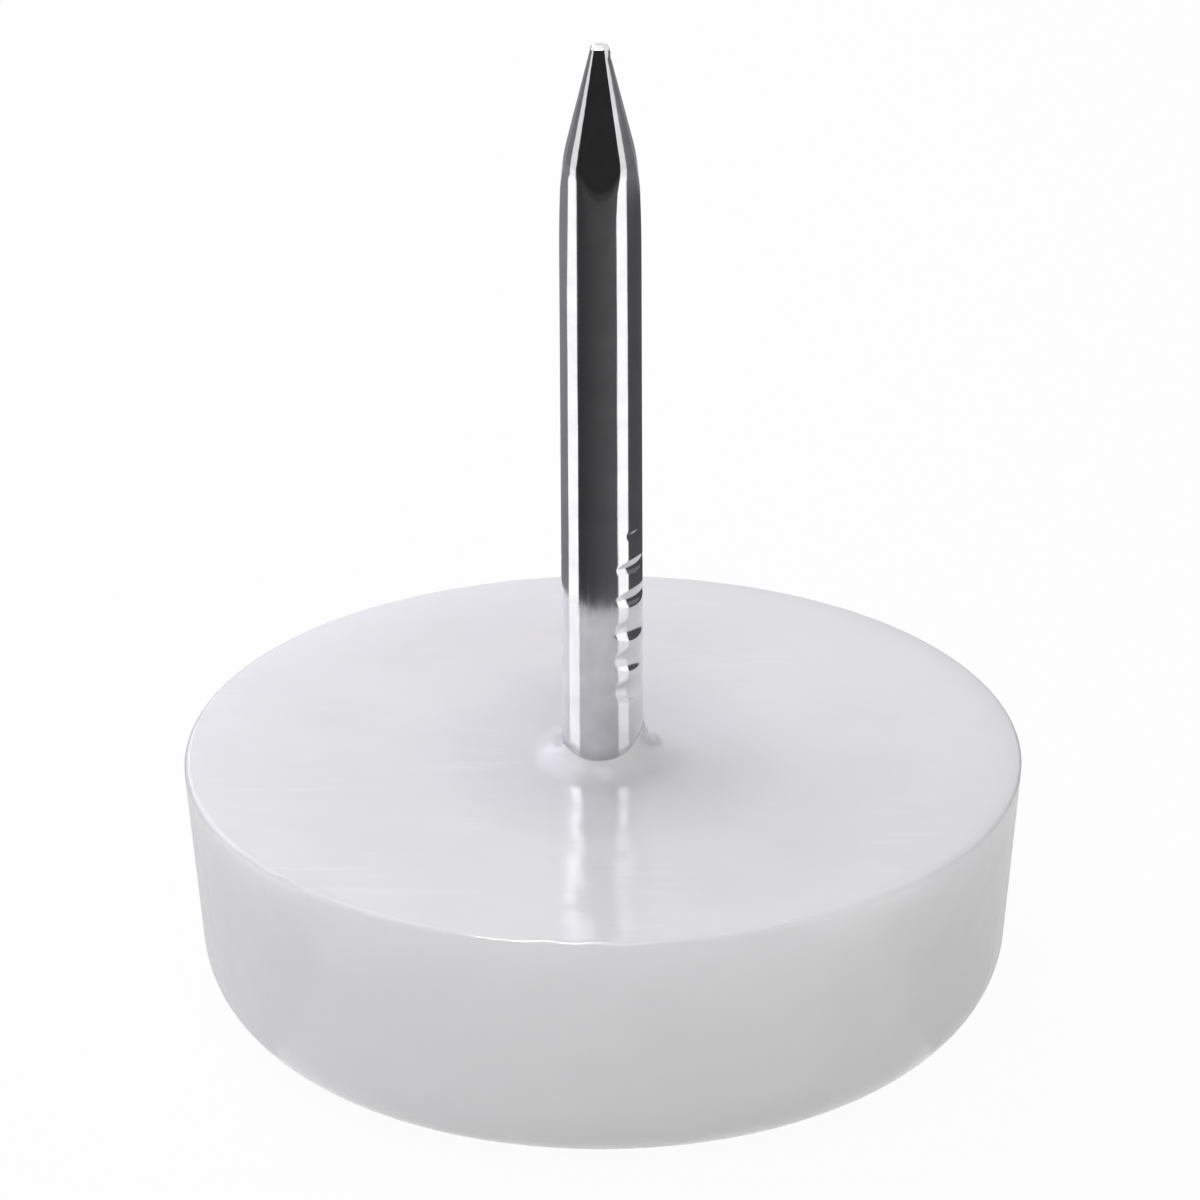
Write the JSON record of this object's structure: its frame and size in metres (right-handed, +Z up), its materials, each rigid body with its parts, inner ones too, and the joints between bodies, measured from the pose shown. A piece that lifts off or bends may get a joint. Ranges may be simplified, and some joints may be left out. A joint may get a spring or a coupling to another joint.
{
  "type": "nail-on furniture glide",
  "caption": "Round moulded plastic furniture glide with a rounded sliding foot and a plain steel nail, cut to a diamond point, standing up from its flat top.",
  "frame": {"origin": "centre of the flat sliding face, on the nail's axis", "axes": "+Z up along the nail towards its point; X and Y square to two facets of the point"},
  "size_m": [0.02, 0.02, 0.0247],
  "materials": {
    "milky_plastic": "natural milky polyethylene, smooth as moulded",
    "bright_steel": "bright drawn and plated steel wire"
  },
  "bodies": {
    "root": {"glide_base": "milky_plastic", "nail": "bright_steel"}
  },
  "joints": []
}
